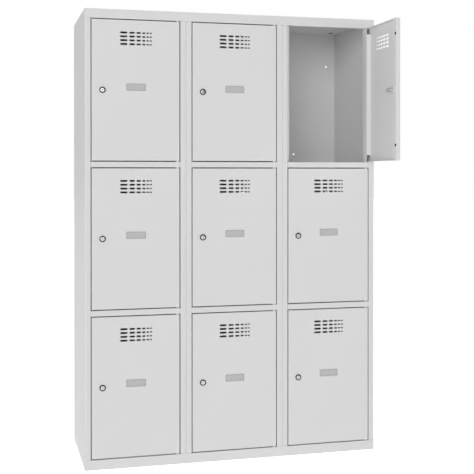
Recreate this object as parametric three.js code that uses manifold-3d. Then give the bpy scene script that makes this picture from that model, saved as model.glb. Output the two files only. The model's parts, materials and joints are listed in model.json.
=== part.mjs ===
// Parcel locker: a welded steel cabinet of three columns and three rows, with nine hinged doors.
// Units are millimetres, +Z is up, +X is to the right of a person facing the doors, +Y is into the cabinet.
// The origin is on the floor, under the middle of the cabinet's footprint.
// The top right door stands open at rest and the other eight are shut.

import * as THREE from "three";
import { mergeVertices } from "three/addons/utils/BufferGeometryUtils.js";
import Module from "manifold-3d";

// ---- driving dimensions ----

const COLUMNS = 3;
const ROWS = 3;
const COLUMN_PITCH = 400;
const DEPTH = 490;
const HEIGHT = 1800;
const SHEET = 1; // thickness of every steel sheet
const JOINT = 0.3; // gap between two pieces that are fastened to each other
const SEAM = 0.5; // gap between the side walls of two neighbouring columns

// Front frame: the faces seen between the doors.
const POST = 22.5; // width of one side wall's front flange
const TOP_RAIL = 36.5;
const MIDDLE_RAIL = 22;
const BOTTOM_RAIL = 39.5;
const POST_RETURN = 20.7; // depth of the post's return flange
const RAIL_RETURN = 18.5; // depth of a rail's return flange
const RAIL_LIP = 9; // height of the lip at the end of a rail's return
const STOP_REACH = 12.5; // the door stop on the lock side reaches this far past the post
const SHELF_BEHIND_POST = 1.3; // clearances of the shelf from the post's return and from the door stop
const SHELF_BESIDE_STOP = 1;

// Doors.
const DOOR_GAP = 4;
const DOOR_THICKNESS = 17.5;
const PIN_FROM_EDGE = 7; // the hinge axis, inboard of the door's hinge edge
const PIN_FROM_FACE = 6.5; // and behind the door's front face
const LOCK_SIDE_LIP = 32;
const HINGE_SIDE_LIP = 44;
const LIP_NOTCH = 2; // the lips stop this far from the door's ends
const LEG_NOTCH = 25.5; // and the leg that closes the hinge-side box, this far
const OPEN_ANGLE = 90.5; // degrees, the door that stands open

// Vent slots: rows of slots that get shorter and narrower towards the hinge side.
const SLOT_LENGTHS = [28.5, 21.5, 17, 12.5, 9.5, 8];
const SLOT_HEIGHTS = [7.4, 7.2, 7, 6.4, 5.8, 5.4];
const SLOT_SPACES = [8, 6.5, 5.5, 4.5, 3.8]; // after each slot of a row but the last
const SLOT_ROWS = 4;
const SLOT_ROW_PITCH = 15;
const FIRST_SLOT_ROW = 49.5; // below the door's top edge
const SLOT_END_STEPS = 3;

// Label holder.
const LABEL_WIDTH = 77;
const LABEL_HEIGHT = 27.5;
const LABEL_BORDER = 2.5;
const LABEL_THICKNESS = 1.6;
const LABEL_RECESS = 0.8;
const LABEL_ABOVE_MIDDLE = 12.5;

// Cam lock.
const LOCK_FROM_EDGE = 42;
const LOCK_RING_RADIUS = 12.5;
const LOCK_RING_FRONT = 3; // how far it stands out of the door's face
const LOCK_RING_CHAMFER = 0.9;
const LOCK_MOUTH_RADIUS = 8.7; // the ring's opening, which shows the plug's face
const LOCK_SEAT = 0.6; // the mouth's floor, in front of the door's face
const BARREL_RADIUS = 9;
const BARREL_END = 19.2;
const BORE_RADIUS = 6.3;
const LOCK_HOLE_RADIUS = 9.5; // in the door's face
const NUT_RADIUS = 13.9; // over the corners
const NUT_THICKNESS = 4;
const PLUG_HEAD_RADIUS = 8.2;
const PLUG_HEAD_SINK = 0.2; // below the ring's front
const PLUG_HEAD_BACK = 0.9; // in front of the door's face
const PLUG_RADIUS = 6;
const KEY_SLOT = [1.6, 7.5, 1.4]; // width, length and depth
const CAM_LENGTH = 44; // from the plug's axis to the tip
const CAM_WIDTH = 16;
const CAM_THICKNESS = 2.4;
const CAM_START = 21.6; // behind the door's front face
const CAM_SCREW_RADIUS = 5;
const CAM_SCREW_HEAD = 2.2;
const LOCK_STEPS = 12;

// Hinge pins: a rod with a washer in each gap between rail and door.
const PIN_RADIUS = 3;
const PIN_HOLE_RADIUS = 3.3;
const PIN_IN_DOOR = 7; // how far the rod reaches past the door's end
const PIN_IN_RAIL = 14; // how far the lowest rod reaches below the floor sheet
const WASHER_RADIUS = 5.8;
const PIN_STEPS = 8;

// Holes in the sheets.
const ROOF_HOLE_RADIUS = 7;
const ROOF_HOLE_FROM_SIDE = 45;
const ROOF_HOLE_FROM_BACK = 72;
const FIXING_RADIUS = 4;
const FIXING_FROM_SIDE = 43;
const FIXING_BELOW_HEAD = 112;
const FIXING_ABOVE_FLOOR = 42;
const HOLE_STEPS = 8;

// Floor channel under each bottom sheet.
const CHANNEL_WIDTH = 60;
const CHANNEL_FOOT = 20;
const CHANNEL_END = 12; // clear of the side walls

// ---- worked out from them ----

const OPENING_WIDTH = COLUMN_PITCH - 2 * POST;
const OPENING_HEIGHT = (HEIGHT - TOP_RAIL - BOTTOM_RAIL - (ROWS - 1) * MIDDLE_RAIL) / ROWS;
const DOOR_WIDTH = OPENING_WIDTH - 2 * DOOR_GAP;
const DOOR_HEIGHT = OPENING_HEIGHT - 2 * DOOR_GAP;
const INNER_LEFT = SEAM / 2 + SHEET + JOINT; // a column's clear span between its side walls
const INNER_RIGHT = COLUMN_PITCH - INNER_LEFT;
const BACK_FACE = DEPTH - SHEET; // front face of the back panel
const SHEET_END = BACK_FACE - JOINT; // where the sheets that meet the back panel end
const PIN_X = COLUMN_PITCH - POST - DOOR_GAP - PIN_FROM_EDGE;
const LOCK_Z = DOOR_HEIGHT / 2;
const OVERLAP = 0.5; // how far joined solids run into each other
const FLATNESS = 0.002; // level faces that meet within this become one face
const GRID = 64; // vertices lie on a grid of 1/64 mm, so that faces meant to be level are exactly level

// Height of the lower edge of the door opening in a row, counted from the bottom row, 0.
function openingFloor(row) {
  return BOTTOM_RAIL + row * (OPENING_HEIGHT + MIDDLE_RAIL);
}

// ---- materials ----

function finish(hex, roughness, metalness) {
  return new THREE.MeshStandardMaterial({ color: hex, roughness, metalness });
}

const paintedSteel = finish(0xd8d9da, 0.5, 0.1);
const innerSteel = finish(0xd2d3d4, 0.55, 0.1);
const labelPlastic = finish(0xb4b5b6, 0.45, 0);
const lockBlack = finish(0x2b2c2e, 0.4, 0.6);
const lockChrome = finish(0xe6e8ea, 0.18, 0.9);
const pinZinc = finish(0xc9ccce, 0.35, 0.85);

// ---- solids ----

const wasm = await Module();
wasm.setup();

// A closed geometry as a manifold-3d solid, with its vertices on the grid.
function solid(geometry) {
  const plain = geometry.index ? geometry.toNonIndexed() : geometry.clone();
  for (const name of Object.keys(plain.attributes)) {
    if (name !== "position") plain.deleteAttribute(name);
  }
  const snapped = plain.attributes.position.array.map((value) => Math.round(value * GRID) / GRID);
  plain.setAttribute("position", new THREE.BufferAttribute(snapped, 3));
  const merged = mergeVertices(plain, 1e-4);
  const mesh = new wasm.Mesh({
    numProp: 3,
    vertProperties: merged.attributes.position.array,
    triVerts: new Uint32Array(merged.index.array),
  });
  return new wasm.Manifold(mesh);
}

// A manifold-3d solid as a geometry with flat faces.
function geometryOf(body) {
  const mesh = body.asOriginal().simplify(FLATNESS).getMesh();
  const geometry = new THREE.BufferGeometry();
  geometry.setAttribute("position", new THREE.BufferAttribute(new Float32Array(mesh.vertProperties), 3));
  geometry.setIndex(new THREE.BufferAttribute(new Uint32Array(mesh.triVerts), 1));
  const flat = geometry.toNonIndexed();
  flat.computeVertexNormals();
  return flat;
}

// A box between two corners.
function block(x0, y0, z0, x1, y1, z1) {
  const box = new THREE.BoxGeometry(x1 - x0, y1 - y0, z1 - z0);
  box.translate((x0 + x1) / 2, (y0 + y1) / 2, (z0 + z1) / 2);
  return solid(box);
}

function join(bodies) {
  return bodies.reduce((whole, body) => whole.add(body));
}

function cut(body, tools) {
  return tools.reduce((rest, tool) => rest.subtract(tool), body);
}

// An outline in X and Z, from y0 to y1.
function slabXZ(shape, y0, y1) {
  const slab = new THREE.ExtrudeGeometry(shape, { depth: y1 - y0, bevelEnabled: false, curveSegments: 8 });
  slab.rotateX(Math.PI / 2);
  slab.translate(0, y1, 0);
  return solid(slab);
}

// An outline in X and Y, from z0 to z1.
function slabXY(shape, z0, z1) {
  const slab = new THREE.ExtrudeGeometry(shape, { depth: z1 - z0, bevelEnabled: false, curveSegments: 8 });
  slab.translate(0, 0, z0);
  return solid(slab);
}

function polygon(points) {
  return new THREE.Shape(points.map(([x, y]) => new THREE.Vector2(x, y)));
}

function disc(x, y, z0, z1, radius, steps) {
  const cylinder = new THREE.CylinderGeometry(radius, radius, z1 - z0, steps);
  cylinder.rotateX(Math.PI / 2);
  cylinder.translate(x, y, (z0 + z1) / 2);
  return solid(cylinder);
}

// A cylinder along Y.
function discY(x, z, y0, y1, radius, steps) {
  const cylinder = new THREE.CylinderGeometry(radius, radius, y1 - y0, steps);
  cylinder.translate(x, (y0 + y1) / 2, z);
  return solid(cylinder);
}

// A turned piece about the Y axis: its profile is a closed loop of [radius, y].
function turned(profile, steps) {
  const loop = [...profile, profile[0]];
  const lathe = new THREE.LatheGeometry(loop.map(([r, y]) => new THREE.Vector2(r, y)), steps);
  const body = solid(lathe);
  if (body.volume() > 0) return body;
  lathe.index.array.reverse();
  return solid(lathe);
}

// ---- cabinet ----

// A side wall of one column, in the column's frame: panel, front flange and return.
// The wall on the lock side carries the door stop.
function sideWall(onLockSide) {
  const outer = SEAM / 2;
  const top = HEIGHT - TOP_RAIL - JOINT;
  const bottom = BOTTOM_RAIL + JOINT;
  const pieces = [
    block(outer, SHEET + JOINT, 0, outer + SHEET, SHEET_END, HEIGHT - SHEET - JOINT),
    block(outer, 0, bottom, POST, SHEET, top),
    block(outer, 0, bottom, outer + SHEET, 2 * SHEET, top),
    block(POST - SHEET, 0, bottom, POST, POST_RETURN, top),
  ];
  if (onLockSide) {
    pieces.push(block(POST - SHEET, POST_RETURN - SHEET, bottom, POST + STOP_REACH, POST_RETURN, top));
  }
  const wall = join(pieces);
  return onLockSide ? wall : wall.mirror([1, 0, 0]).translate([COLUMN_PITCH, 0, 0]);
}

// The roof with its front rail. Over each column's door it has a return flange with a lip,
// and the welded pin that the top door turns on.
function topPanel() {
  const width = COLUMNS * COLUMN_PITCH;
  const head = HEIGHT - TOP_RAIL;
  const pieces = [
    block(SEAM / 2, 0, HEIGHT - SHEET, width - SEAM / 2, SHEET_END, HEIGHT),
    block(SEAM / 2, 0, head, width - SEAM / 2, SHEET, HEIGHT),
  ];
  for (let column = 0; column < COLUMNS; column += 1) {
    const x = column * COLUMN_PITCH;
    const left = x + INNER_LEFT;
    const right = x + INNER_RIGHT;
    const rod = [x + PIN_X, PIN_FROM_FACE, head - DOOR_GAP - PIN_IN_DOOR, head + SHEET / 2];
    const washer = [x + PIN_X, PIN_FROM_FACE, head - DOOR_GAP + JOINT, head + SHEET / 2];
    pieces.push(block(left, 0, head, right, RAIL_RETURN, head + SHEET));
    pieces.push(block(left, RAIL_RETURN - SHEET, head, right, RAIL_RETURN, head + RAIL_LIP));
    pieces.push(disc(...rod, PIN_RADIUS, PIN_STEPS));
    pieces.push(disc(...washer, WASHER_RADIUS, PIN_STEPS));
  }
  const holes = [];
  for (let column = 0; column < COLUMNS; column += 1) {
    const x = (column + 1) * COLUMN_PITCH - ROOF_HOLE_FROM_SIDE;
    const y = DEPTH - ROOF_HOLE_FROM_BACK;
    holes.push(disc(x, y, HEIGHT - 2 * SHEET, HEIGHT + SHEET, ROOF_HOLE_RADIUS, HOLE_STEPS));
  }
  return cut(join(pieces), holes);
}

// The floor sheets, the kick rail in front of them with its foot, and a channel under each sheet.
function bottomPanel() {
  const width = COLUMNS * COLUMN_PITCH;
  const top = BOTTOM_RAIL;
  const pieces = [block(SEAM / 2, 0, 0, width - SEAM / 2, SHEET, top)];
  const holes = [];
  for (let column = 0; column < COLUMNS; column += 1) {
    const x = column * COLUMN_PITCH;
    const left = x + INNER_LEFT;
    const right = x + INNER_RIGHT;
    const channelFront = (DEPTH - CHANNEL_WIDTH) / 2;
    const channelBack = (DEPTH + CHANNEL_WIDTH) / 2;
    const channelLeft = left + CHANNEL_END;
    const channelRight = right - CHANNEL_END;
    pieces.push(block(left, 0, top - SHEET, right, SHEET_END, top));
    pieces.push(block(left, 0, 0, right, CHANNEL_FOOT, SHEET));
    const webTop = top - SHEET / 2;
    pieces.push(block(channelLeft, channelFront, 0, channelRight, channelBack, SHEET));
    pieces.push(block(channelLeft, channelFront, 0, channelRight, channelFront + SHEET, webTop));
    pieces.push(block(channelLeft, channelBack - SHEET, 0, channelRight, channelBack, webTop));
    holes.push(disc(x + PIN_X, PIN_FROM_FACE, top - 2 * SHEET, top + SHEET, PIN_HOLE_RADIUS, PIN_STEPS));
  }
  return cut(join(pieces), holes);
}

// One sheet behind all the columns, with three wall fixing holes in each compartment.
function backPanel() {
  const width = COLUMNS * COLUMN_PITCH;
  const shape = polygon([
    [SEAM / 2, 0],
    [width - SEAM / 2, 0],
    [width - SEAM / 2, HEIGHT],
    [SEAM / 2, HEIGHT],
  ]);
  for (let column = 0; column < COLUMNS; column += 1) {
    for (let row = 0; row < ROWS; row += 1) {
      const x = column * COLUMN_PITCH;
      const floor = openingFloor(row);
      const spots = [
        [x + FIXING_FROM_SIDE, floor + OPENING_HEIGHT - FIXING_BELOW_HEAD],
        [x + COLUMN_PITCH - FIXING_FROM_SIDE, floor + OPENING_HEIGHT - FIXING_BELOW_HEAD],
        [x + COLUMN_PITCH / 2, floor + FIXING_ABOVE_FLOOR],
      ];
      for (const [holeX, holeZ] of spots) shape.holes.push(roundHole(holeX, holeZ, FIXING_RADIUS, HOLE_STEPS));
    }
  }
  return slabXZ(shape, -DEPTH, -BACK_FACE).mirror([0, 1, 0]);
}

function roundHole(x, z, radius, steps) {
  const points = [];
  for (let step = 0; step < steps; step += 1) {
    const angle = (2 * Math.PI * step) / steps;
    points.push(new THREE.Vector2(x + radius * Math.cos(angle), z + radius * Math.sin(angle)));
  }
  return new THREE.Path(points);
}

// A shelf in its column's frame, with the rail folded down at its front, seen from z = 0 at the rail's foot.
function shelf() {
  const left = POST + JOINT;
  const right = COLUMN_PITCH - POST - JOINT;
  const behindPost = POST_RETURN + SHELF_BEHIND_POST;
  const besideStop = POST + STOP_REACH + SHELF_BESIDE_STOP;
  const beforeStop = RAIL_RETURN;
  const outline = polygon([
    [left, 0],
    [right, 0],
    [right, behindPost],
    [INNER_RIGHT, behindPost],
    [INNER_RIGHT, SHEET_END],
    [INNER_LEFT, SHEET_END],
    [INNER_LEFT, behindPost],
    [besideStop, behindPost],
    [besideStop, beforeStop],
    [left, beforeStop],
  ]);
  const pieces = [
    slabXY(outline, MIDDLE_RAIL - SHEET, MIDDLE_RAIL),
    block(left, 0, 0, right, SHEET, MIDDLE_RAIL),
    block(left, 0, 0, right, RAIL_RETURN, SHEET),
    block(left, RAIL_RETURN - SHEET, 0, right, RAIL_RETURN, RAIL_LIP),
  ];
  return cut(join(pieces), [disc(PIN_X, PIN_FROM_FACE, -SHEET, MIDDLE_RAIL + SHEET, PIN_HOLE_RADIUS, PIN_STEPS)]);
}

// ---- doors ----
// A door's own frame has its origin at the lower free corner of its front face.

// A slot with round ends, centred on x and z.
function slotPath(x, z, length, height) {
  const radius = height / 2;
  const reach = length / 2 - radius;
  const points = [];
  for (const side of [1, -1]) {
    for (let step = 0; step <= SLOT_END_STEPS; step += 1) {
      const angle = Math.PI * (step / SLOT_END_STEPS - 0.5);
      points.push(
        new THREE.Vector2(x + side * (reach + radius * Math.cos(angle)), z + side * radius * Math.sin(angle)),
      );
    }
  }
  return new THREE.Path(points);
}

function ventSlots() {
  const total = [...SLOT_LENGTHS, ...SLOT_SPACES].reduce((sum, length) => sum + length, 0);
  const slots = [];
  for (let row = 0; row < SLOT_ROWS; row += 1) {
    const z = DOOR_HEIGHT - FIRST_SLOT_ROW - row * SLOT_ROW_PITCH;
    let x = (DOOR_WIDTH - total) / 2;
    SLOT_LENGTHS.forEach((length, index) => {
      slots.push(slotPath(x + length / 2, z, length, SLOT_HEIGHTS[index]));
      x += length + (SLOT_SPACES[index] ?? 0);
    });
  }
  return slots;
}

// A pan: the face with its vents and lock hole, four folded edges, a lip on the lock side,
// and a box-folded stiffener on the hinge side.
function doorShell() {
  const face = polygon([
    [0, 0],
    [DOOR_WIDTH, 0],
    [DOOR_WIDTH, DOOR_HEIGHT],
    [0, DOOR_HEIGHT],
  ]);
  face.holes.push(...ventSlots(), roundHole(LOCK_FROM_EDGE, LOCK_Z, LOCK_HOLE_RADIUS, LOCK_STEPS));
  const skin = slabXZ(face, -SHEET, 0).mirror([0, 1, 0]);
  const inner = DOOR_THICKNESS - SHEET;
  const boxLeft = DOOR_WIDTH - HINGE_SIDE_LIP;
  const lipTop = DOOR_HEIGHT - LIP_NOTCH;
  const start = SHEET - OVERLAP;
  const pieces = [
    skin,
    block(0, start, 0, SHEET, DOOR_THICKNESS, DOOR_HEIGHT),
    block(DOOR_WIDTH - SHEET, start, 0, DOOR_WIDTH, DOOR_THICKNESS, DOOR_HEIGHT),
    block(0, start, 0, DOOR_WIDTH, DOOR_THICKNESS, SHEET),
    block(0, start, DOOR_HEIGHT - SHEET, DOOR_WIDTH, DOOR_THICKNESS, DOOR_HEIGHT),
    block(0, inner, LIP_NOTCH, LOCK_SIDE_LIP, DOOR_THICKNESS, lipTop),
    block(boxLeft, inner, LIP_NOTCH, DOOR_WIDTH, DOOR_THICKNESS, lipTop),
    block(boxLeft, start, LEG_NOTCH, boxLeft + SHEET, DOOR_THICKNESS, DOOR_HEIGHT - LEG_NOTCH),
  ];
  const pinX = DOOR_WIDTH - PIN_FROM_EDGE;
  const pinHoles = [0, DOOR_HEIGHT].map((z) =>
    disc(pinX, PIN_FROM_FACE, z - 2 * SHEET, z + 2 * SHEET, PIN_HOLE_RADIUS, PIN_STEPS),
  );
  return cut(join(pieces), pinHoles);
}

// A plate with a raised border, stuck to the door's face.
function labelHolder() {
  const plate = block(0, -LABEL_THICKNESS - JOINT, 0, LABEL_WIDTH, -JOINT, LABEL_HEIGHT);
  const recess = block(
    LABEL_BORDER,
    -LABEL_THICKNESS - 2 * JOINT,
    LABEL_BORDER,
    LABEL_WIDTH - LABEL_BORDER,
    -LABEL_THICKNESS - JOINT + LABEL_RECESS,
    LABEL_HEIGHT - LABEL_BORDER,
  );
  return plate.subtract(recess);
}

// The lock's fixed body: ring, barrel and nut, bored for the plug.
function lockBody() {
  const ringBack = -JOINT;
  const profile = [
    [LOCK_MOUTH_RADIUS, -LOCK_RING_FRONT],
    [LOCK_RING_RADIUS - LOCK_RING_CHAMFER, -LOCK_RING_FRONT],
    [LOCK_RING_RADIUS, -LOCK_RING_FRONT + LOCK_RING_CHAMFER],
    [LOCK_RING_RADIUS, ringBack],
    [BARREL_RADIUS, ringBack],
    [BARREL_RADIUS, BARREL_END],
    [BORE_RADIUS, BARREL_END],
    [BORE_RADIUS, -LOCK_SEAT],
    [LOCK_MOUTH_RADIUS, -LOCK_SEAT],
  ];
  const nutStart = SHEET + JOINT;
  const nut = discY(0, 0, nutStart, nutStart + NUT_THICKNESS, NUT_RADIUS, 6);
  const bore = discY(0, 0, nutStart - SHEET, nutStart + NUT_THICKNESS + SHEET, BARREL_RADIUS - OVERLAP, LOCK_STEPS);
  return turned(profile, LOCK_STEPS).add(nut.subtract(bore));
}

// The turning piece: plug with its key slot, and the cam held on its end by a screw.
// The cam points away from the lock, towards +X, at the unlocked end of its travel.
function lockPlug() {
  const headFront = -LOCK_RING_FRONT + PLUG_HEAD_SINK;
  const headBack = -PLUG_HEAD_BACK;
  const camEnd = CAM_START + CAM_THICKNESS;
  const plug = turned(
    [
      [0, headFront],
      [PLUG_HEAD_RADIUS, headFront],
      [PLUG_HEAD_RADIUS, headBack],
      [PLUG_RADIUS, headBack],
      [PLUG_RADIUS, CAM_START + OVERLAP],
      [0, CAM_START + OVERLAP],
    ],
    LOCK_STEPS,
  );
  const arm = block(0, CAM_START, -CAM_WIDTH / 2, CAM_LENGTH, camEnd, CAM_WIDTH / 2);
  const hub = discY(0, 0, CAM_START, camEnd, CAM_WIDTH / 2, LOCK_STEPS);
  const screw = discY(0, 0, camEnd - OVERLAP, camEnd + CAM_SCREW_HEAD, CAM_SCREW_RADIUS, 6);
  const [width, length, depth] = KEY_SLOT;
  const slot = block(-width / 2, headFront - OVERLAP, -length / 2, width / 2, headFront + depth, length / 2);
  return join([plug, arm, hub, screw]).subtract(slot);
}

// ---- hinge pins ----

// A pin through a middle rail, holding the door above and the door below, from the rail's foot at z = 0.
function middlePin() {
  const top = MIDDLE_RAIL + DOOR_GAP;
  return join([
    disc(0, 0, -DOOR_GAP - PIN_IN_DOOR, top + PIN_IN_DOOR, PIN_RADIUS, PIN_STEPS),
    disc(0, 0, -DOOR_GAP + JOINT, -JOINT, WASHER_RADIUS, PIN_STEPS),
    disc(0, 0, MIDDLE_RAIL + JOINT, top - JOINT, WASHER_RADIUS, PIN_STEPS),
  ]);
}

// The pin that carries the lowest door, from the floor sheet's upper face at z = 0.
function bottomPin() {
  return join([
    disc(0, 0, -PIN_IN_RAIL, DOOR_GAP + PIN_IN_DOOR, PIN_RADIUS, PIN_STEPS),
    disc(0, 0, JOINT, DOOR_GAP - JOINT, WASHER_RADIUS, PIN_STEPS),
  ]);
}

// ---- assembly ----

const COLUMN_NAMES = ["left", "middle", "right"];
const ROW_NAMES = ["bottom", "centre", "top"];

function piece(name, body, material) {
  const mesh = new THREE.Mesh(geometryOf(body), material);
  mesh.name = name;
  return mesh;
}

// One door with its label holder and lock, hung on its hinge axis.
function hungDoor(cell, isOpen) {
  const hung = new THREE.Group();
  hung.rotation.z = isOpen ? THREE.MathUtils.degToRad(OPEN_ANGLE) : 0;

  const door = new THREE.Group();
  door.position.set(-(DOOR_WIDTH - PIN_FROM_EDGE), -PIN_FROM_FACE, DOOR_GAP);
  door.add(piece(`door_${cell}`, doorShell(), paintedSteel));

  const label = piece(`label_holder_${cell}`, labelHolder(), labelPlastic);
  const labelMiddle = DOOR_HEIGHT / 2 + LABEL_ABOVE_MIDDLE;
  label.position.set((DOOR_WIDTH - LABEL_WIDTH) / 2, 0, labelMiddle - LABEL_HEIGHT / 2);
  door.add(label);

  const lock = new THREE.Group();
  lock.position.set(LOCK_FROM_EDGE, 0, LOCK_Z);
  lock.add(piece(`lock_body_${cell}`, lockBody(), lockBlack));
  lock.add(piece(`lock_cam_${cell}`, lockPlug(), lockChrome));
  door.add(lock);

  hung.add(door);
  return hung;
}

function columnGroup(column) {
  const name = COLUMN_NAMES[column];
  const group = new THREE.Group();
  group.position.x = column * COLUMN_PITCH;
  group.add(piece(`${name}_column_left_wall`, sideWall(true), paintedSteel));
  group.add(piece(`${name}_column_right_wall`, sideWall(false), paintedSteel));
  for (let row = 0; row < ROWS; row += 1) {
    const cell = `${ROW_NAMES[row]}_${name}`;
    const floor = openingFloor(row);
    const isOpen = row === ROWS - 1 && column === COLUMNS - 1;
    const hung = hungDoor(cell, isOpen);
    hung.position.set(PIN_X, PIN_FROM_FACE, floor);
    group.add(hung);
    const pin = piece(`hinge_pin_${cell}`, row === 0 ? bottomPin() : middlePin(), pinZinc);
    pin.position.set(PIN_X, PIN_FROM_FACE, row === 0 ? floor : floor - MIDDLE_RAIL);
    group.add(pin);
    if (row > 0) {
      const tray = piece(`shelf_${cell}`, shelf(), innerSteel);
      tray.position.z = floor - MIDDLE_RAIL;
      group.add(tray);
    }
  }
  return group;
}

function parcelLocker() {
  const locker = new THREE.Group();
  const cabinet = new THREE.Group();
  cabinet.position.set((-COLUMNS * COLUMN_PITCH) / 2, -DEPTH / 2, 0);
  cabinet.add(piece("top_panel", topPanel(), paintedSteel));
  cabinet.add(piece("bottom_panel", bottomPanel(), paintedSteel));
  cabinet.add(piece("back_panel", backPanel(), innerSteel));
  for (let column = 0; column < COLUMNS; column += 1) cabinet.add(columnGroup(column));
  locker.add(cabinet);
  return locker;
}

export default parcelLocker();
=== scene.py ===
import json
import math

import bmesh
import bpy
from mathutils import Matrix, Vector
from mathutils.geometry import tessellate_polygon


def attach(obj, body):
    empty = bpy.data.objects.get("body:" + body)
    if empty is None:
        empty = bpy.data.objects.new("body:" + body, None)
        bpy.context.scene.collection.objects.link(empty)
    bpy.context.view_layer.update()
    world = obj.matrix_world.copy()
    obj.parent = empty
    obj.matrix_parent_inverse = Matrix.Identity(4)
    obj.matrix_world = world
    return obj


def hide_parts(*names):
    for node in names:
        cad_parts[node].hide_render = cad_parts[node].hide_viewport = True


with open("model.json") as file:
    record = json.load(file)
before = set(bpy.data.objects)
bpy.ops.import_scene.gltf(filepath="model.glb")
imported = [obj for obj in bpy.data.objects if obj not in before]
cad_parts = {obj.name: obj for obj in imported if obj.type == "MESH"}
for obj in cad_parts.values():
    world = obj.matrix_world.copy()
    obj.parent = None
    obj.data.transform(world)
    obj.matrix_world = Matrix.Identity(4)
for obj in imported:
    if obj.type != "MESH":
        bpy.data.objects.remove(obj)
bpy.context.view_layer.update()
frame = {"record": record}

# The looks of a steel parcel locker: nine folded doors in a folded steel cabinet.
# Shapes are worked out in millimetres and become metres when a piece is made.
# Columns and rows are counted from the lower left, as seen from the front.

# ---- sizes, in millimetres ----

MM = 0.001
COLUMN_NAMES = ("left", "middle", "right")
ROW_NAMES = ("bottom", "centre", "top")
CELLS = [(row, column) for column in range(3) for row in range(3)]

SHEET = 1.0
FOLD = 1.5  # outer radius of a fold
JOINT = 0.3
SEAM = 0.5  # between the side walls of two columns
COLUMN_PITCH = 400.0
DEPTH = 490.0
HEIGHT = 1800.0
HALF_WIDTH = 1.5 * COLUMN_PITCH

POST = 22.5
TOP_RAIL = 36.5
MIDDLE_RAIL = 22.0
BOTTOM_RAIL = 39.5
POST_RETURN = 20.7
RAIL_RETURN = 18.5
RAIL_LIP = 9.0
STOP_REACH = 12.5
SHELF_BEHIND_POST = 1.3
SHELF_BESIDE_STOP = 1.0
OPENING_HEIGHT = (HEIGHT - TOP_RAIL - BOTTOM_RAIL - 2 * MIDDLE_RAIL) / 3

DOOR_GAP = 4.0
DOOR_WIDTH = COLUMN_PITCH - 2 * POST - 2 * DOOR_GAP
DOOR_HEIGHT = OPENING_HEIGHT - 2 * DOOR_GAP
DOOR_DEPTH = 17.5
LIP_START = 15.0  # where the door's lips are folded from its edges
LOCK_SIDE_LIP = 32.0
HINGE_SIDE_LIP = 44.0
LIP_NOTCH = 2.0  # the lips stop this far from the door's ends
LEG_NOTCH = 25.5  # and the leg that closes the hinge-side box, this far
PIN_FROM_EDGE = 7.0
PIN_FROM_FACE = 6.5
PIN_X = COLUMN_PITCH - POST - DOOR_GAP - PIN_FROM_EDGE
PIN_IN_DOOR = 7.0  # how far a hinge pin reaches past the door's end
PIN_IN_RAIL = 14.0  # and the lowest one below the floor sheet

SLOT_LENGTHS = (28.5, 21.5, 17.0, 12.5, 9.5, 8.0)
SLOT_HEIGHTS = (7.4, 7.2, 7.0, 6.4, 5.8, 5.4)
SLOT_SPACES = (8.0, 6.5, 5.5, 4.5, 3.8)  # after each slot of a row but the last
SLOT_ROWS = 4
SLOT_ROW_PITCH = 15.0
FIRST_SLOT_ROW = 49.5
HOLE_EDGE = 0.25  # rounding of a punched edge
HOLE_STEPS = 28
SHARP_ANGLE = 40  # degrees; flatter edges are shaded smooth

LABEL_SIZE = (77.0, 27.5)
LABEL_ABOVE_MIDDLE = 12.5
LABEL_THICKNESS = 1.6
# Inset from the holder's edge, and depth behind its front; the card lies at the last one.
LABEL_PROFILE = [(0.0, 0.4), (0.12, 0.12), (0.4, 0.0), (2.6, 0.0), (2.9, 0.2), (3.0, 0.8)]
LOCK_FROM_EDGE = 42.0
LOCK_Z = DOOR_HEIGHT / 2
LOCK_HOLE_RADIUS = 9.5
BUMPER_FROM_END = 60.0
BUMPER_FROM_EDGE = 5.0
BUMPER_PROFILE = [(5.6, 0.0), (5.6, 1.1), (5.3, 1.6), (4.4, 1.9), (2.0, 2.0)]  # radius and height

# ---- camera ----


def make_camera():
    """The camera a little to the left of the cabinet, level with its upper shelf."""
    data = bpy.data.cameras.new("camera")
    data.lens = 76.16  # millimetres, with the sensor's width
    data.sensor_width = 36.0
    data.shift_x = -0.0372
    data.shift_y = -0.128
    camera = bpy.data.objects.new("camera", data)
    camera.location = (-0.9726, -4.1758, 1.1606)
    camera.rotation_euler = (math.pi / 2 - 0.0037, 0.0, -0.2623)
    bpy.context.collection.objects.link(camera)
    bpy.context.scene.camera = camera


make_camera()

# ---- materials ----


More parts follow.
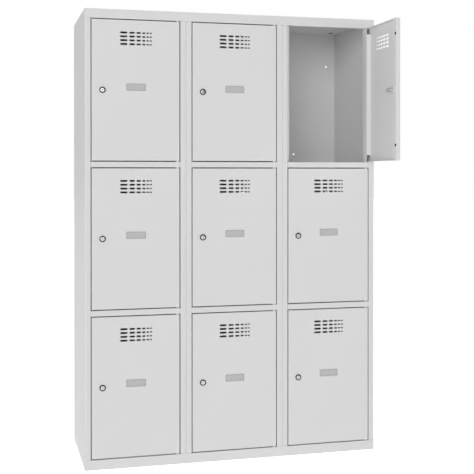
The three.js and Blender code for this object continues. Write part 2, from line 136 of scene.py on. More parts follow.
class Shader:
    """A node material with one principled shader, and short calls for the nodes round it."""

    def __init__(self, name, color, roughness, metallic=0.0):
        self.material = bpy.data.materials.new(name)
        self.material.use_nodes = True
        self.tree = self.material.node_tree
        self.bsdf = self.tree.nodes["Principled BSDF"]
        self.bsdf.inputs["Base Color"].default_value = (*color, 1.0)
        self.bsdf.inputs["Roughness"].default_value = roughness
        self.bsdf.inputs["Metallic"].default_value = metallic
        self.where = self.tree.nodes.new("ShaderNodeTexCoord").outputs["Object"]

    def link(self, source, target):
        self.tree.links.new(source, target)

    def noise(self, scale, detail=2.0, roughness=0.5, stretch=None):
        """Noise with so many cells to the metre, stretched along the axes if asked."""
        node = self.tree.nodes.new("ShaderNodeTexNoise")
        node.inputs["Scale"].default_value = scale
        node.inputs["Detail"].default_value = detail
        node.inputs["Roughness"].default_value = roughness
        where = self.where
        if stretch:
            mapping = self.tree.nodes.new("ShaderNodeMapping")
            mapping.inputs["Scale"].default_value = stretch
            self.link(where, mapping.inputs["Vector"])
            where = mapping.outputs["Vector"]
        self.link(where, node.inputs["Vector"])
        return node.outputs["Fac"]

    def ramp(self, value, low, high, start=0.3, end=0.7):
        """value between start and end, spread from low to high."""
        node = self.tree.nodes.new("ShaderNodeMapRange")
        node.inputs["From Min"].default_value = start
        node.inputs["From Max"].default_value = end
        node.inputs["To Min"].default_value = low
        node.inputs["To Max"].default_value = high
        self.link(value, node.inputs["Value"])
        return node.outputs["Result"]

    def blend(self, value, first, second):
        """A colour between first and second, by value from 0 to 1."""
        node = self.tree.nodes.new("ShaderNodeMix")
        node.data_type = "RGBA"
        node.inputs["A"].default_value = (*first, 1.0)
        node.inputs["B"].default_value = (*second, 1.0)
        self.link(value, node.inputs["Factor"])
        return node.outputs["Result"]

    def color_from(self, value, first, second):
        self.link(self.blend(value, first, second), self.bsdf.inputs["Base Color"])

    def roughness_from(self, value, low, high):
        self.link(self.ramp(value, low, high), self.bsdf.inputs["Roughness"])

    def bump(self, value, height_mm, strength=1.0):
        node = self.tree.nodes.new("ShaderNodeBump")
        node.inputs["Distance"].default_value = height_mm * MM
        node.inputs["Strength"].default_value = strength
        self.link(value, node.inputs["Height"])
        self.link(node.outputs["Normal"], self.bsdf.inputs["Normal"])


def grey(level):
    return (level, level, level)


def powder_coat(name, level):
    """Light powder coat: slow changes of tone, fine orange peel and an uneven gloss."""
    shader = Shader(name, grey(level), 0.45)
    shader.bsdf.inputs["Specular IOR Level"].default_value = 0.42
    tone = shader.ramp(shader.noise(2.2, 3.0), 0.0, 1.0)
    shader.color_from(tone, grey(level * 0.985), grey(level * 1.015))
    shader.roughness_from(shader.noise(60.0, 3.0), 0.40, 0.50)
    shader.bump(shader.noise(620.0, 2.0, 0.4), 0.12, 0.35)
    return shader.material


def satin_plastic(name, color, roughness, grain=900.0):
    """Moulded plastic: fine grain and a slight change of gloss."""
    shader = Shader(name, color, roughness)
    darker = tuple(c * 0.94 for c in color)
    shader.color_from(shader.ramp(shader.noise(90.0, 2.0), 0.0, 1.0), darker, color)
    shader.roughness_from(shader.noise(150.0, 2.0), roughness - 0.06, roughness + 0.06)
    shader.bump(shader.noise(grain, 2.0), 0.05, 0.4)
    return shader.material


def plated_metal(name, color, roughness, metallic=1.0, brushed=(1.0, 1.0, 12.0)):
    """Plated or polished metal with faint marks along one direction."""
    shader = Shader(name, color, roughness, metallic)
    marks = shader.noise(700.0, 2.0, stretch=brushed)
    darker = tuple(c * 0.92 for c in color)
    shader.color_from(shader.ramp(shader.noise(120.0, 3.0), 0.0, 1.0), darker, color)
    shader.roughness_from(marks, roughness * 0.8, roughness * 1.25)
    shader.bump(marks, 0.02, 0.25)
    return shader.material


PAINT_LEVEL = 0.80
cabinet_paint = powder_coat("cabinet_paint", PAINT_LEVEL)
door_paint = powder_coat("door_paint", PAINT_LEVEL)
label_frame_plastic = satin_plastic("label_frame_plastic", grey(0.46), 0.42)
label_card = satin_plastic("label_card", grey(0.58), 0.55, 1400.0)
lock_black = satin_plastic("lock_black", (0.012, 0.012, 0.013), 0.42)
lock_chrome = plated_metal("lock_chrome", (0.86, 0.86, 0.87), 0.14)
zinc = plated_metal("zinc", (0.70, 0.71, 0.72), 0.45, 0.5)
# Painted shade: the key slot's walls and bottom are coloured near-black to stand in for the darkness inside
# a deep keyway.
keyway_painted_shade = satin_plastic("keyway_painted_shade", (0.02, 0.02, 0.02), 0.5)
bumper_rubber = satin_plastic("bumper_rubber", (0.010, 0.010, 0.010), 0.75, 700.0)
washer_nylon = satin_plastic("washer_nylon", (0.93, 0.93, 0.91), 0.45)
plug_black = satin_plastic("plug_black", (0.015, 0.015, 0.016), 0.45)

# ---- shapes ----


class Shape:
    """Points in millimetres and faces, collected until they become one piece."""

    def __init__(self):
        self.points = []
        self.faces = []
        self.slots = []
        self.slot = 0

    def loop(self, points):
        start = len(self.points)
        self.points += [tuple(p) for p in points]
        return list(range(start, len(self.points)))

    def face(self, corners):
        self.faces.append(corners)
        self.slots.append(self.slot)

    def bridge(self, first, second):
        """A band of faces between two closed loops of the same length."""
        for i, corner in enumerate(first):
            after = (i + 1) % len(first)
            self.face([corner, first[after], second[after], second[i]])

    def cap(self, outer, holes=()):
        """A flat face inside outer, with a hole for each other loop."""
        if not holes:
            self.face(list(outer))
            return
        loops = [outer, *holes]
        corners = [index for loop in loops for index in loop]
        flat = [[Vector(self.points[index]) for index in loop] for loop in loops]
        for triangle in tessellate_polygon(flat):
            self.face([corners[i] for i in triangle])

    def stack(self, rings):
        """A solid through closed rings of points, capped at its first and last ring."""
        loops = [self.loop(ring) for ring in rings]
        for first, second in zip(loops, loops[1:]):
            self.bridge(first, second)
        self.cap(loops[0])
        self.cap(loops[-1])

    def ring(self, rings):
        """A solid through closed rings of points that comes back to its first ring."""
        loops = [self.loop(ring) for ring in rings]
        for first, second in zip(loops, loops[1:] + loops[:1]):
            self.bridge(first, second)

    def sheet(self, line, lo, hi, place):
        """A folded sheet. line is its middle line, with right-angled folds, in two coordinates; it runs
        from lo to hi in the third. place(u, v, w) gives the point in the piece."""
        half = SHEET / 2
        rings = []
        for point, normal in rounded(line, FOLD - half):
            one, other = point + normal * half, point - normal * half
            rings.append([place(*one, lo), place(*other, lo), place(*other, hi), place(*one, hi)])
        self.stack(rings)


FOLD_STEPS = 5


def rounded(line, radius):
    """The points of an open line with its right-angled corners rounded, each with its unit normal."""
    line = [Vector(point) for point in line]
    found = []
    for i, corner in enumerate(line):
        into = (corner - line[i - 1]).normalized() if i else None
        out = (line[i + 1] - corner).normalized() if i + 1 < len(line) else None
        if into is None or out is None:
            direction = out or into
            found.append((corner, Vector((-direction.y, direction.x))))
            continue
        centre = corner - into * radius + out * radius
        for step in range(FOLD_STEPS + 1):
            turn = math.pi / 2 * step / FOLD_STEPS
            direction = into * math.cos(turn) + out * math.sin(turn)
            point = centre - out * radius * math.cos(turn) + into * radius * math.sin(turn)
            found.append((point, Vector((-direction.y, direction.x))))
    return found


def circle(radius, steps, x=0.0, z=0.0):
    """Points round a circle, as (x, z)."""
    turns = [2 * math.pi * step / steps for step in range(steps)]
    return [(x + radius * math.cos(turn), z + radius * math.sin(turn)) for turn in turns]


def rounded_rectangle(width, height, radius, steps=5):
    """Points round a rectangle centred on the origin, with round corners."""
    points = []
    for corner, (sx, sz) in enumerate(((1, 1), (-1, 1), (-1, -1), (1, -1))):
        for step in range(steps + 1):
            turn = math.pi / 2 * (corner + step / steps)
            x = sx * (width / 2 - radius) + radius * math.cos(turn)
            z = sz * (height / 2 - radius) + radius * math.sin(turn)
            points.append((x, z))
    return points


def slot_outline(x, z, length, height, steps=7):
    """Points round a slot with round ends."""
    points = []
    radius = height / 2
    for side in (1, -1):
        for step in range(steps + 1):
            turn = math.pi * (step / steps - 0.5)
            along = length / 2 - radius + radius * math.cos(turn)
            points.append((x + side * along, z + side * radius * math.sin(turn)))
    return points


def at_y(points, y):
    return [(x, y, z) for x, z in points]


def punched(shape, outline, front, back):
    """The wall of a hole through a sheet, from front to back, with rounded edges.
    outline(grow) gives the hole's points, so much larger all round. Returns its first and last loop."""
    soft = HOLE_EDGE * (1 - math.sqrt(0.5))
    sign = 1 if back > front else -1
    steps = ((HOLE_EDGE, 0.0), (soft, soft), (0.0, HOLE_EDGE))
    rings = [at_y(outline(grow), front + sign * depth) for grow, depth in steps]
    rings += [at_y(outline(grow), back - sign * depth) for grow, depth in reversed(steps)]
    loops = [shape.loop(ring) for ring in rings]
    for first, second in zip(loops, loops[1:]):
        shape.bridge(first, second)
    return loops[0], loops[-1]


def turned(shape, stretches, steps):
    """A ring turned about the Y axis. Its profile is a closed loop of (radius, y), in stretches that
    each have their own material slot."""
    loops = []
    slots = []
    for slot, profile in stretches:
        loops += [shape.loop(at_y(circle(radius, steps), y)) for radius, y in profile]
        slots += [slot] * len(profile)
    for first, second, shape.slot in zip(loops, loops[1:] + loops[:1], slots):
        shape.bridge(first, second)


def piece(name, shape, materials, matrix, body, replaces=(), slot=None):
    """One object from a shape, placed in the row frame, riding on a body."""
    bm = bmesh.new()
    corners = [bm.verts.new(Vector(point) * MM) for point in shape.points]
    for indices, slot_index in zip(shape.faces, shape.slots):
        face = bm.faces.new([corners[i] for i in indices])
        face.material_index = slot_index
    bmesh.ops.recalc_face_normals(bm, faces=bm.faces)
    mesh = bpy.data.meshes.new(name)
    bm.to_mesh(mesh)
    bm.free()
    mesh.shade_smooth()
    mesh.set_sharp_from_angle(angle=math.radians(SHARP_ANGLE))
    for material in materials:
        mesh.materials.append(material)
    return instance(name, mesh, matrix, body, replaces, slot)


def instance(name, mesh, matrix, body, replaces=(), slot=None):
    """An object of a mesh that may be shared, placed in the row frame, riding on a body."""
    made = bpy.data.objects.new(name, mesh)
    bpy.context.collection.objects.link(made)
    made.matrix_world = matrix
    normals = made.modifiers.new("flat_faces", "WEIGHTED_NORMAL")
    normals.keep_sharp = True
    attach(made, body)
    if replaces:
        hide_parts(*replaces)
    return made


def cabinet_matrix(column=0):
    """From a column's own frame, at its lower front left corner, to the row frame."""
    return Matrix.Translation(Vector((column * COLUMN_PITCH - HALF_WIDTH, -DEPTH / 2, 0)) * MM)


def opening_floor(row):
    return BOTTOM_RAIL + row * (OPENING_HEIGHT + MIDDLE_RAIL)


def along_x(u, v, w):
    """A profile in Y and Z, swept along X."""
    return (w, u, v)


def along_z(u, v, w):
    """A profile in X and Y, swept along Z."""
    return (u, v, w)


# ---- cabinet ----

SHEET_END = DEPTH - SHEET - JOINT
FOLD_CLEAR = 3.0  # the flat part of a sheet starts this far from its fold
COLUMN_LEFT = SEAM / 2 + SHEET + JOINT
COLUMN_RIGHT = COLUMN_PITCH - COLUMN_LEFT


def side_wall(column, on_lock_side):
    """Panel, post flange and return; on the lock side also the door stop."""
    shape = Shape()
    middle = SEAM / 2 + SHEET / 2
    tip = POST - SHEET / 2
    low, high = BOTTOM_RAIL + JOINT, HEIGHT - TOP_RAIL - JOINT
    top = HEIGHT - SHEET - JOINT

    def place(u, v, w):
        return (u if on_lock_side else COLUMN_PITCH - u, v, w)

    shape.sheet([(middle, FOLD_CLEAR), (middle, SHEET_END)], 0, top, place)
    folded = [(middle, FOLD_CLEAR), (middle, SHEET / 2), (tip, SHEET / 2)]
    if on_lock_side:
        stop = POST_RETURN - SHEET / 2
        folded += [(tip, stop), (POST + STOP_REACH, stop)]
    else:
        folded.append((tip, POST_RETURN))
    shape.sheet(folded, low, high, place)
    for start, end in ((0, low), (high, top)):
        shape.sheet([(middle, SHEET + JOINT), (middle, FOLD_CLEAR)], start, end, place)
    side = "left" if on_lock_side else "right"
    name = f"{COLUMN_NAMES[column]}_column_{side}_wall"
    matrix = cabinet_matrix(column)
    piece(f"{name}_sheet", shape, [cabinet_paint], matrix, "cabinet", [name], "cabinet_paint")


def shelf(row, column):
    """The shelf sheet, folded down into the rail between two doors."""
    shape = Shape()
    left, right = POST + JOINT, COLUMN_PITCH - POST - JOINT
    behind_post = POST_RETURN + SHELF_BEHIND_POST
    beside_stop = POST + STOP_REACH + SHELF_BESIDE_STOP
    level = MIDDLE_RAIL - SHEET / 2
    front, foot = SHEET / 2, SHEET / 2
    lip = RAIL_RETURN - SHEET / 2
    rail = [(RAIL_RETURN, level), (front, level), (front, foot), (lip, foot), (lip, RAIL_LIP)]
    shape.sheet(rail, left, right, along_x)
    shape.sheet([(RAIL_RETURN, level), (behind_post, level)], beside_stop, right, along_x)
    shape.sheet([(behind_post, level), (SHEET_END, level)], COLUMN_LEFT, COLUMN_RIGHT, along_x)
    name = f"shelf_{ROW_NAMES[row]}_{COLUMN_NAMES[column]}"
    matrix = cabinet_matrix(column) @ Matrix.Translation((0, 0, (opening_floor(row) - MIDDLE_RAIL) * MM))
    piece(f"{name}_sheet", shape, [cabinet_paint], matrix, "cabinet", [name], "inner_paint")


ROOF_HOLE_RADIUS = 7.0
ROOF_HOLE_FROM_SIDE = 45.0
ROOF_HOLE_FROM_BACK = 72.0
# The roof plug's radius, and its height over the underside of the roof.
PLUG_PROFILE = [(6.4, 0.8), (6.6, -0.1), (9.6, -0.1), (9.8, -1.0), (8.8, -2.2)]
CHANNEL_WIDTH = 60.0
CHANNEL_END = 12.0
FOOT = 20.0


def column_strips(low, high):
    """The stretch that the folds take in each column, and the stretches between them that stay straight."""
    lefts = [column * COLUMN_PITCH for column in range(3)]
    folded = [(left + low, left + high) for left in lefts]
    ends = [SEAM / 2, *[end for stretch in folded for end in stretch], 2 * HALF_WIDTH - SEAM / 2]
    straight = [(ends[i], ends[i + 1]) for i in range(0, len(ends), 2)]
    return folded, straight


def flat_sheet_with_holes(shape, lo, hi, near, far, holes, place):
    """A flat sheet with round holes, given as (u, v, radius), between the planes near and far."""
    start = len(shape.points)
    corners = [(lo[0], lo[1]), (hi[0], lo[1]), (hi[0], hi[1]), (lo[0], hi[1])]
    near_loop = shape.loop(at_y(corners, near))
    far_loop = shape.loop(at_y(corners, far))
    shape.bridge(near_loop, far_loop)
    ends = []
    for x, z, radius in holes:
        ends.append(punched(shape, lambda grow: circle(radius + grow, HOLE_STEPS, x, z), near, far))
    shape.cap(near_loop, [first for first, _ in ends])
    shape.cap(far_loop, [last for _, last in ends])
    shape.points[start:] = [place(*point) for point in shape.points[start:]]


def top_panel():
    """The roof, folded down into the front rail and back under it over each door."""
    shape = Shape()
    head = HEIGHT - TOP_RAIL
    width = 2 * HALF_WIDTH
    roof = HEIGHT - SHEET / 2
    front, lip = SHEET / 2, RAIL_RETURN - SHEET / 2
    holes = [
        ((column + 1) * COLUMN_PITCH - ROOF_HOLE_FROM_SIDE, DEPTH - ROOF_HOLE_FROM_BACK, ROOF_HOLE_RADIUS)
        for column in range(3)
    ]
    lo, hi = (SEAM / 2, FOLD_CLEAR), (width - SEAM / 2, SHEET_END)
    flat_sheet_with_holes(shape, lo, hi, HEIGHT - SHEET, HEIGHT, holes, lambda x, y, z: (x, z, y))
    rail = [(FOLD_CLEAR, roof), (front, roof), (front, head + FOLD_CLEAR)]
    shape.sheet(rail, SEAM / 2, width - SEAM / 2, along_x)
    folded, straight = column_strips(COLUMN_LEFT, COLUMN_RIGHT)
    level = head + SHEET / 2
    turned_in = [(front, head + FOLD_CLEAR), (front, level), (lip, level), (lip, head + RAIL_LIP)]
    for start, end in folded:
        shape.sheet(turned_in, start, end, along_x)
    for start, end in straight:
        shape.sheet([(front, head + FOLD_CLEAR), (front, head)], start, end, along_x)
    for column in range(3):
        pin(shape, column * COLUMN_PITCH + PIN_X, head - DOOR_GAP - PIN_IN_DOOR, head + SHEET)
    matrix = cabinet_matrix()
    piece("top_panel_sheet", shape, [cabinet_paint], matrix, "cabinet", ["top_panel"], "cabinet_paint")


def bottom_panel():
    """The floor sheets, folded down into the kick rail and back under it, and the channels under them."""
    shape = Shape()
    width = 2 * HALF_WIDTH
    floor = BOTTOM_RAIL - SHEET / 2
    front, foot = SHEET / 2, SHEET / 2
    kick_rail = [(front, FOLD_CLEAR), (front, BOTTOM_RAIL - FOLD_CLEAR)]
    shape.sheet(kick_rail, SEAM / 2, width - SEAM / 2, along_x)
    folded, straight = column_strips(COLUMN_LEFT, COLUMN_RIGHT)
    channel = [(DEPTH - CHANNEL_WIDTH + SHEET) / 2, (DEPTH + CHANNEL_WIDTH - SHEET) / 2]
    under = BOTTOM_RAIL - SHEET
    for start, end in folded:
        floor_sheet = [(SHEET_END, floor), (front, floor), (front, BOTTOM_RAIL - FOLD_CLEAR)]
        shape.sheet(floor_sheet, start, end, along_x)
        shape.sheet([(front, FOLD_CLEAR), (front, foot), (FOOT, foot)], start, end, along_x)
        trough = [(channel[0], under), (channel[0], foot), (channel[1], foot), (channel[1], under)]
        shape.sheet(trough, start + CHANNEL_END, end - CHANNEL_END, along_x)
    for start, end in straight:
        shape.sheet([(front, BOTTOM_RAIL - FOLD_CLEAR), (front, BOTTOM_RAIL)], start, end, along_x)
        shape.sheet([(front, 0), (front, FOLD_CLEAR)], start, end, along_x)
    matrix = cabinet_matrix()
    names = ["bottom_panel"]
    piece("bottom_panel_sheet", shape, [cabinet_paint], matrix, "cabinet", names, "cabinet_paint")


FIXING_RADIUS = 4.0
FIXING_FROM_SIDE = 43.0
FIXING_BELOW_HEAD = 112.0
FIXING_ABOVE_FLOOR = 42.0


def back_panel():
    """One sheet with three wall fixing holes in each compartment."""
    shape = Shape()
    holes = []
    for row, column in CELLS:
        x, floor = column * COLUMN_PITCH, opening_floor(row)
        high = floor + OPENING_HEIGHT - FIXING_BELOW_HEAD
        holes.append((x + FIXING_FROM_SIDE, high, FIXING_RADIUS))
        holes.append((x + COLUMN_PITCH - FIXING_FROM_SIDE, high, FIXING_RADIUS))
        holes.append((x + COLUMN_PITCH / 2, floor + FIXING_ABOVE_FLOOR, FIXING_RADIUS))
    lo, hi = (SEAM / 2, 0), (2 * HALF_WIDTH - SEAM / 2, HEIGHT)
    flat_sheet_with_holes(shape, lo, hi, DEPTH - SHEET, DEPTH, holes, lambda x, y, z: (x, y, z))
    matrix = cabinet_matrix()
    piece("back_panel_sheet", shape, [cabinet_paint], matrix, "cabinet", ["back_panel"], "inner_paint")


def roof_plug(column):
    """A black push-in plug in the roof hole, seen from inside."""
    shape = Shape()
    x = (column + 1) * COLUMN_PITCH - ROOF_HOLE_FROM_SIDE
    y = DEPTH - ROOF_HOLE_FROM_BACK
    under = HEIGHT - SHEET
    stack = [(radius, under + height) for radius, height in PLUG_PROFILE]
    shape.stack([[(px, py, z) for px, py in circle(radius, 32, x, y)] for radius, z in stack])
    name = f"roof_plug_{COLUMN_NAMES[column]}"
    piece(name, shape, [plug_black], cabinet_matrix(), "cabinet", slot="bumper_rubber")


# ---- hinges ----

PIN_RADIUS = 3.0
WASHER_RADIUS = 5.8
PIN_STEPS = 24


def pin(shape, x, low, high, chamfer=0.6):
    """A steel rod with chamfered ends."""
    profile = [
        (PIN_RADIUS - chamfer, low),
        (PIN_RADIUS, low + chamfer),
        (PIN_RADIUS, high - chamfer),
        (PIN_RADIUS - chamfer, high),
    ]
    shape.stack([[(px, py, z) for px, py in circle(r, PIN_STEPS, x, PIN_FROM_FACE)] for r, z in profile])


def washer(name, column, low, high):
    """A white nylon washer in the gap between a rail and a door."""
    shape = Shape()
    inner = PIN_RADIUS + 0.05
    soft = 0.3
    profile = [
        (inner, low),
        (WASHER_RADIUS - soft, low),
        (WASHER_RADIUS, low + soft),
        (WASHER_RADIUS, high - soft),
        (WASHER_RADIUS - soft, high),
        (inner, high),
    ]
    shape.ring([[(px, py, z) for px, py in circle(r, PIN_STEPS, PIN_X, PIN_FROM_FACE)] for r, z in profile])
    piece(name, shape, [washer_nylon], cabinet_matrix(column), "cabinet", slot="washer_nylon")


def hinge_pins(row, column):
    """The pin under a door and the washers that the door turns on."""
    cell = f"{ROW_NAMES[row]}_{COLUMN_NAMES[column]}"
    floor = opening_floor(row)
    shape = Shape()
    below = PIN_IN_RAIL if row == 0 else MIDDLE_RAIL + DOOR_GAP + PIN_IN_DOOR
    pin(shape, PIN_X, floor - below, floor + DOOR_GAP + PIN_IN_DOOR)
    name = f"hinge_pin_{cell}"
    piece(f"{name}_rod", shape, [zinc], cabinet_matrix(column), "cabinet", [name], "hinge_pin")
    washer(f"washer_below_{cell}", column, floor + JOINT, floor + DOOR_GAP - JOINT)
    head = floor + OPENING_HEIGHT
    washer(f"washer_above_{cell}", column, head - DOOR_GAP + JOINT, head - JOINT)


# ---- doors ----


def door_ring(inset, y):
    """The door's outline, so far inside its edges."""
    lo, hi_x, hi_z = inset, DOOR_WIDTH - inset, DOOR_HEIGHT - inset
    return [(lo, y, lo), (hi_x, y, lo), (hi_x, y, hi_z), (lo, y, hi_z)]


def grown_slot(x, z, length, height):
    return lambda grow: slot_outline(x, z, length + 2 * grow, height + 2 * grow)


def vent_outlines():
    """Each vent slot as a function of how much larger it is drawn."""
    total = sum(SLOT_LENGTHS) + sum(SLOT_SPACES)
    outlines = []
    for row in range(SLOT_ROWS):
        z = DOOR_HEIGHT - FIRST_SLOT_ROW - row * SLOT_ROW_PITCH
        x = (DOOR_WIDTH - total) / 2
        for length, height, space in zip(SLOT_LENGTHS, SLOT_HEIGHTS, (*SLOT_SPACES, 0)):
            outlines.append(grown_slot(x + length / 2, z, length, height))
            x += length + space
    return outlines


def door_shape():
    """A pan with rounded folds: face with vents and lock hole, edges, lips and the hinge-side stiffener."""
    shape = Shape()
    turns = [math.pi / 2 * step / FOLD_STEPS for step in range(FOLD_STEPS + 1)]
    outer = [(FOLD * (1 - math.sin(t)), FOLD * (1 - math.cos(t))) for t in turns]
    inner_radius = FOLD - SHEET
    inner = [(FOLD - inner_radius * math.cos(t), FOLD - inner_radius * math.sin(t)) for t in turns]
    profile = [*outer, (0.0, LIP_START), (SHEET, LIP_START), *inner]
    loops = [shape.loop(door_ring(inset, y)) for inset, y in profile]
    for first, second in zip(loops, loops[1:]):
        shape.bridge(first, second)
    holes = vent_outlines()
    holes.append(lambda grow: circle(LOCK_HOLE_RADIUS + grow, 40, LOCK_FROM_EDGE, LOCK_Z))
    ends = [punched(shape, outline, 0.0, SHEET) for outline in holes]
    shape.cap(loops[0], [first for first, _ in ends])
    shape.cap(loops[-1], [last for _, last in ends])

    middle = SHEET / 2
    lip = DOOR_DEPTH - middle
    right = DOOR_WIDTH - middle
    low, high = LIP_NOTCH, DOOR_HEIGHT - LIP_NOTCH
    box_edge = DOOR_WIDTH - HINGE_SIDE_LIP + middle
    shape.sheet([(middle, LIP_START), (middle, lip), (LOCK_SIDE_LIP, lip)], low, high, along_z)
    shape.sheet([(right, LIP_START), (right, lip), (box_edge + FOLD_CLEAR, lip)], low, high, along_z)
    leg = [(box_edge + FOLD_CLEAR, lip), (box_edge, lip), (box_edge, SHEET)]
    shape.sheet(leg, LEG_NOTCH, DOOR_HEIGHT - LEG_NOTCH, along_z)
    for start, end in ((low, LEG_NOTCH), (DOOR_HEIGHT - LEG_NOTCH, high)):
        shape.sheet([(box_edge + FOLD_CLEAR, lip), (box_edge - middle, lip)], start, end, along_z)
    for start, end in ((SHEET, low), (high, DOOR_HEIGHT - SHEET)):
        shape.sheet([(middle, LIP_START), (middle, DOOR_DEPTH)], start, end, along_z)
        shape.sheet([(right, LIP_START), (right, DOOR_DEPTH)], start, end, along_z)
    for z in (middle, DOOR_HEIGHT - middle):
        shape.sheet([(LIP_START, z), (DOOR_DEPTH, z)], 0, DOOR_WIDTH, along_x)
    return shape


def label_shape():
    """A holder with a raised border and a card lying in it."""
    shape = Shape()
    width, height = LABEL_SIZE
    back, front = -JOINT, -LABEL_THICKNESS - JOINT
    steps = [(0.0, back), *[(inset, front + depth) for inset, depth in LABEL_PROFILE]]
    rings = []
    for inset, y in steps:
        outline = rounded_rectangle(width - 2 * inset, height - 2 * inset, max(2.2 - inset * 0.6, 0.4))
        rings.append(at_y(outline, y))
    shape.stack(rings)
    shape.slots[-1] = 1
    return shape


def thread(radius, depth, pitch, start, end):
    """A profile of (radius, y) with fine ridges from start to end."""
    count = int((end - start) / pitch)
    return [(radius - depth * (step % 2), start + pitch * step / 2) for step in range(2 * count + 1)]


def hexagon(across_flats, steps=36, limit=None):
    """Points round a hexagon, cut back to a circle of radius limit."""
    points = []
    for step in range(steps):
        turn = 2 * math.pi * step / steps
        from_flat = (turn % (math.pi / 3)) - math.pi / 6
        radius = across_flats / 2 / math.cos(from_flat)
        radius = min(radius, limit) if limit else radius
        points.append((radius * math.cos(turn), radius * math.sin(turn)))
    return points


LOCK_STEPS = 48
# Radius, and depth behind the door's face. The ring ends where the barrel begins.
RING_FRONT = [(8.5, -0.6), (8.5, -2.7), (8.8, -3.0), (10.7, -3.0)]
RING_PROFILE = [*RING_FRONT, (11.7, -2.75), (12.3, -2.2), (12.5, -1.4), (12.5, -0.3)]
BARREL_RADIUS = 9.0
BARREL_FRONT = [(9.0, -0.3)]
BARREL_BACK = [(8.6, 19.2), (6.3, 19.2), (6.3, -0.6)]
NUT_FLATS = 24.0
NUT_FACE_RADIUS = 12.3
NUT_THICKNESS = 4.0


def lock_body_shape():
    """Ring on the door's face, threaded barrel through it, and the nut behind it."""
    shape = Shape()
    barrel = [*BARREL_FRONT, *thread(BARREL_RADIUS, 0.4, 1.25, 5.5, 18.7), *BARREL_BACK]
    turned(shape, [(0, RING_PROFILE), (1, barrel)], LOCK_STEPS)
    shape.slot = 1
    near, far, chamfer = SHEET + JOINT, SHEET + JOINT + NUT_THICKNESS, 0.7
    hole = circle(BARREL_RADIUS + 0.02, 36)
    shape.ring(
        [
            at_y(hole, near),
            at_y(hexagon(NUT_FLATS, limit=NUT_FACE_RADIUS), near),
            at_y(hexagon(NUT_FLATS), near + chamfer),
            at_y(hexagon(NUT_FLATS), far - chamfer),
            at_y(hexagon(NUT_FLATS, limit=NUT_FACE_RADIUS), far),
            at_y(hole, far),
        ]
    )
    return shape


PLUG_FACE = -2.8
PLUG_EDGE = [(7.4, PLUG_FACE), (7.95, PLUG_FACE + 0.15), (8.2, PLUG_FACE + 0.6)]
PLUG_TURNING = [*PLUG_EDGE, (8.2, -0.9), (6.0, -0.9), (6.0, 24.0)]
KEY_SLOT_LENGTH = 7.5
KEY_SLOT_WIDTH = 1.7
KEY_SLOT_DEPTH = 1.4
CAM_START = 21.6
CAM_END = 24.0
CAM_LENGTH = 44.0  # from the plug's axis to the tip
CAM_RADIUS = 8.0
CAM_CORNER = 3.0
CAM_TIP = [(-1, -90), (-1, -60), (-1, -30), (-1, 0), (1, 0), (1, 30), (1, 60), (1, 90)]  # side and degrees
CAM_SCREW_FLATS = 8.6


def lock_plug_shape():
    """Plug with its key slot, cam and cam screw. The cam points to +X."""
    shape = Shape()
    face = PLUG_FACE
    loops = [shape.loop(at_y(circle(radius, LOCK_STEPS), y)) for radius, y in PLUG_TURNING]
    for first, second in zip(loops, loops[1:]):
        shape.bridge(first, second)
    shape.cap(loops[-1])
    key = [(x, z) for z, x in slot_outline(0, 0, KEY_SLOT_LENGTH, KEY_SLOT_WIDTH)]
    mouth = shape.loop(at_y(key, face))
    shape.cap(loops[0], [mouth])
    # The key slot's walls and bottom take slot 1, which is painted near-black as painted shade for a deep
    # keyway.
    shape.slot = 1
    bottom = shape.loop(at_y(key, face + KEY_SLOT_DEPTH))
    shape.bridge(mouth, bottom)
    shape.cap(bottom)
    shape.slot = 2
    soft = 0.3
    levels = ((soft, CAM_START), (0.0, CAM_START + soft), (0.0, CAM_END - soft), (soft, CAM_END))
    shape.stack([at_y(cam_outline(inset), y) for inset, y in levels])
    sides = ((4.7, CAM_END), (None, CAM_END + 0.5), (None, CAM_END + 1.6), (4.3, CAM_END + 2.2))
    shape.stack([at_y(hexagon(CAM_SCREW_FLATS, limit=limit), y) for limit, y in sides])
    return shape


def cam_outline(inset, steps=12):
    """Points round the cam, so far inside its edge: a half circle and a tip with round corners."""
    corner = CAM_CORNER - inset
    points = []
    for side, degrees in CAM_TIP:
        turn = math.radians(degrees)
        x = CAM_LENGTH - CAM_CORNER + corner * math.cos(turn)
        points.append((x, (CAM_RADIUS - CAM_CORNER) * side + corner * math.sin(turn)))
    for step in range(steps + 1):
        turn = math.pi / 2 + math.pi * step / steps
        points.append(((CAM_RADIUS - inset) * math.cos(turn), (CAM_RADIUS - inset) * math.sin(turn)))
    return points


def bumper_shape():
    """A small rubber dome on the door's lip."""
    shape = Shape()
    shape.stack([at_y(circle(radius, 24), DOOR_DEPTH + y) for radius, y in BUMPER_PROFILE])
    return shape


def hinge_of(cell):
    """The joint of a cell's door."""
    return next(j for j in frame["record"]["behaviour"]["joints"] if j["name"] == f"hinge_{cell}")


def door_matrix(row, column):
    """From a door's own frame, at the lower free corner of its face, to the row frame at rest."""
    joint = hinge_of(f"{ROW_NAMES[row]}_{COLUMN_NAMES[column]}")
    x, y, _ = joint["pos_m"]
    opened = Matrix.Rotation(math.radians(-joint["range_deg"][0]), 4, "Z")
    corner = Vector((PIN_FROM_EDGE - DOOR_WIDTH, -PIN_FROM_FACE, 0)) * MM
    low = (opening_floor(row) + DOOR_GAP) * MM
    return Matrix.Translation((x, y, low)) @ opened @ Matrix.Translation(corner)


def shifted(matrix, x, z):
    return matrix @ Matrix.Translation(Vector((x, 0, z)) * MM)


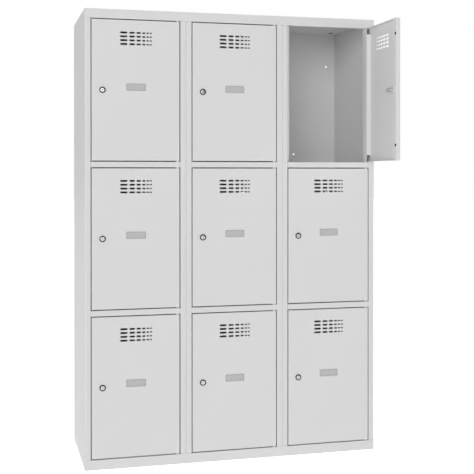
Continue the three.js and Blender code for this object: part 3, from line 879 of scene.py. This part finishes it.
def doors():
    """Every door with its label holder, lock and bumpers. The meshes are shared."""
    shapes = {
        "door": (door_shape(), [door_paint]),
        "label": (label_shape(), [label_frame_plastic, label_card]),
        "body": (lock_body_shape(), [lock_black, zinc]),
        "plug": (lock_plug_shape(), [lock_chrome, keyway_painted_shade, zinc]),
        "bumper": (bumper_shape(), [bumper_rubber]),
    }
    meshes = {}

    def place(kind, name, matrix, body, replaces=(), slot=None):
        if kind in meshes:
            return instance(name, meshes[kind], matrix, body, replaces, slot)
        shape, materials = shapes[kind]
        made = piece(name, shape, materials, matrix, body, replaces, slot)
        meshes[kind] = made.data
        return made

    for row, column in CELLS:
        cell = f"{ROW_NAMES[row]}_{COLUMN_NAMES[column]}"
        body = f"door_{cell}"
        at_door = door_matrix(row, column)
        at_lock = shifted(at_door, LOCK_FROM_EDGE, LOCK_Z)
        place("door", f"door_{cell}_pan", at_door, body, [f"door_{cell}"], "door_paint")
        at_label = shifted(at_door, DOOR_WIDTH / 2, DOOR_HEIGHT / 2 + LABEL_ABOVE_MIDDLE)
        place("label", f"label_{cell}", at_label, body, [f"label_holder_{cell}"], "label_plastic")
        place("body", f"lock_ring_{cell}", at_lock, body, [f"lock_body_{cell}"], "lock_ring")
        place("plug", f"lock_plug_{cell}", at_lock, f"cam_{cell}", [f"lock_cam_{cell}"], "lock_plug")
        for end, z in (("lower", BUMPER_FROM_END), ("upper", DOOR_HEIGHT - BUMPER_FROM_END)):
            at_bumper = shifted(at_door, BUMPER_FROM_EDGE, z)
            place("bumper", f"bumper_{end}_{cell}", at_bumper, body, slot="bumper_rubber")


for each_column in range(3):
    side_wall(each_column, True)
    side_wall(each_column, False)
    roof_plug(each_column)
for each_row, each_column in CELLS:
    hinge_pins(each_row, each_column)
    if each_row:
        shelf(each_row, each_column)
top_panel()
bottom_panel()
back_panel()
doors()

# ---- studio ----


FLOOR_REACH = 40.0  # metres
FLOOR_GLOW = 0.42  # how strongly the lit table lights the cabinet from below
FLOOR_SEEN = 0.90  # its own light as the camera sees it, so that it stays white round the cabinet
SURROUNDINGS = 0.20  # how strongly the white surroundings light the cabinet
SURROUNDINGS_SEEN = 1.0
# Name, direction that the light comes from, how wide it looks in degrees, and strength.
LIGHTS = [
    ("front", (-0.15, -1.0, 0.1), 40, 0.35),
    ("front_left", (-0.6, -1.0, 0.0), 40, 1.55),
    ("side_left", (-1.0, 0.35, 0.1), 40, 0.55),
    ("above", (0.0, 0.1, 1.0), 60, 0.6),
]


def seen_or_lighting(tree, seen, lighting):
    """A strength that is one value to the camera and another to everything else."""
    path = tree.nodes.new("ShaderNodeLightPath")
    strength = tree.nodes.new("ShaderNodeMapRange")
    strength.inputs["To Min"].default_value = lighting
    strength.inputs["To Max"].default_value = seen
    tree.links.new(path.outputs["Is Camera Ray"], strength.inputs["Value"])
    return strength.outputs["Result"]


def studio_floor():
    """A wide pale table under the cabinet."""
    mesh = bpy.data.meshes.new("studio_floor")
    bm = bmesh.new()
    bmesh.ops.create_circle(bm, cap_ends=True, radius=FLOOR_REACH, segments=96)
    bm.to_mesh(mesh)
    bm.free()
    shader = Shader("studio_floor", grey(0.93), 0.7)
    shader.color_from(shader.ramp(shader.noise(0.6), 0.0, 1.0), grey(0.92), grey(0.94))
    shader.bsdf.inputs["Emission Color"].default_value = (1.0, 1.0, 1.0, 1.0)
    glow = seen_or_lighting(shader.tree, FLOOR_SEEN, FLOOR_GLOW)
    shader.link(glow, shader.bsdf.inputs["Emission Strength"])
    mesh.materials.append(shader.material)
    floor = bpy.data.objects.new("studio_floor", mesh)
    bpy.context.collection.objects.link(floor)


def soft_light(name, come_from, spread, strength):
    """An even soft light from one side. spread is how wide it looks, in degrees."""
    data = bpy.data.lights.new(name, "SUN")
    data.energy = strength
    data.angle = math.radians(spread)
    lamp = bpy.data.objects.new(name, data)
    lamp.rotation_euler = Vector(come_from).to_track_quat("Z", "Y").to_euler()
    bpy.context.collection.objects.link(lamp)


def studio_light():
    world = bpy.data.worlds.new("studio")
    world.use_nodes = True
    background = world.node_tree.nodes["Background"]
    background.inputs["Color"].default_value = (1.0, 1.0, 1.0, 1.0)
    strength = seen_or_lighting(world.node_tree, SURROUNDINGS_SEEN, SURROUNDINGS)
    world.node_tree.links.new(strength, background.inputs["Strength"])
    bpy.context.scene.world = world
    for light in LIGHTS:
        soft_light(*light)


studio_floor()
studio_light()
bpy.context.scene.view_settings.view_transform = "Standard"
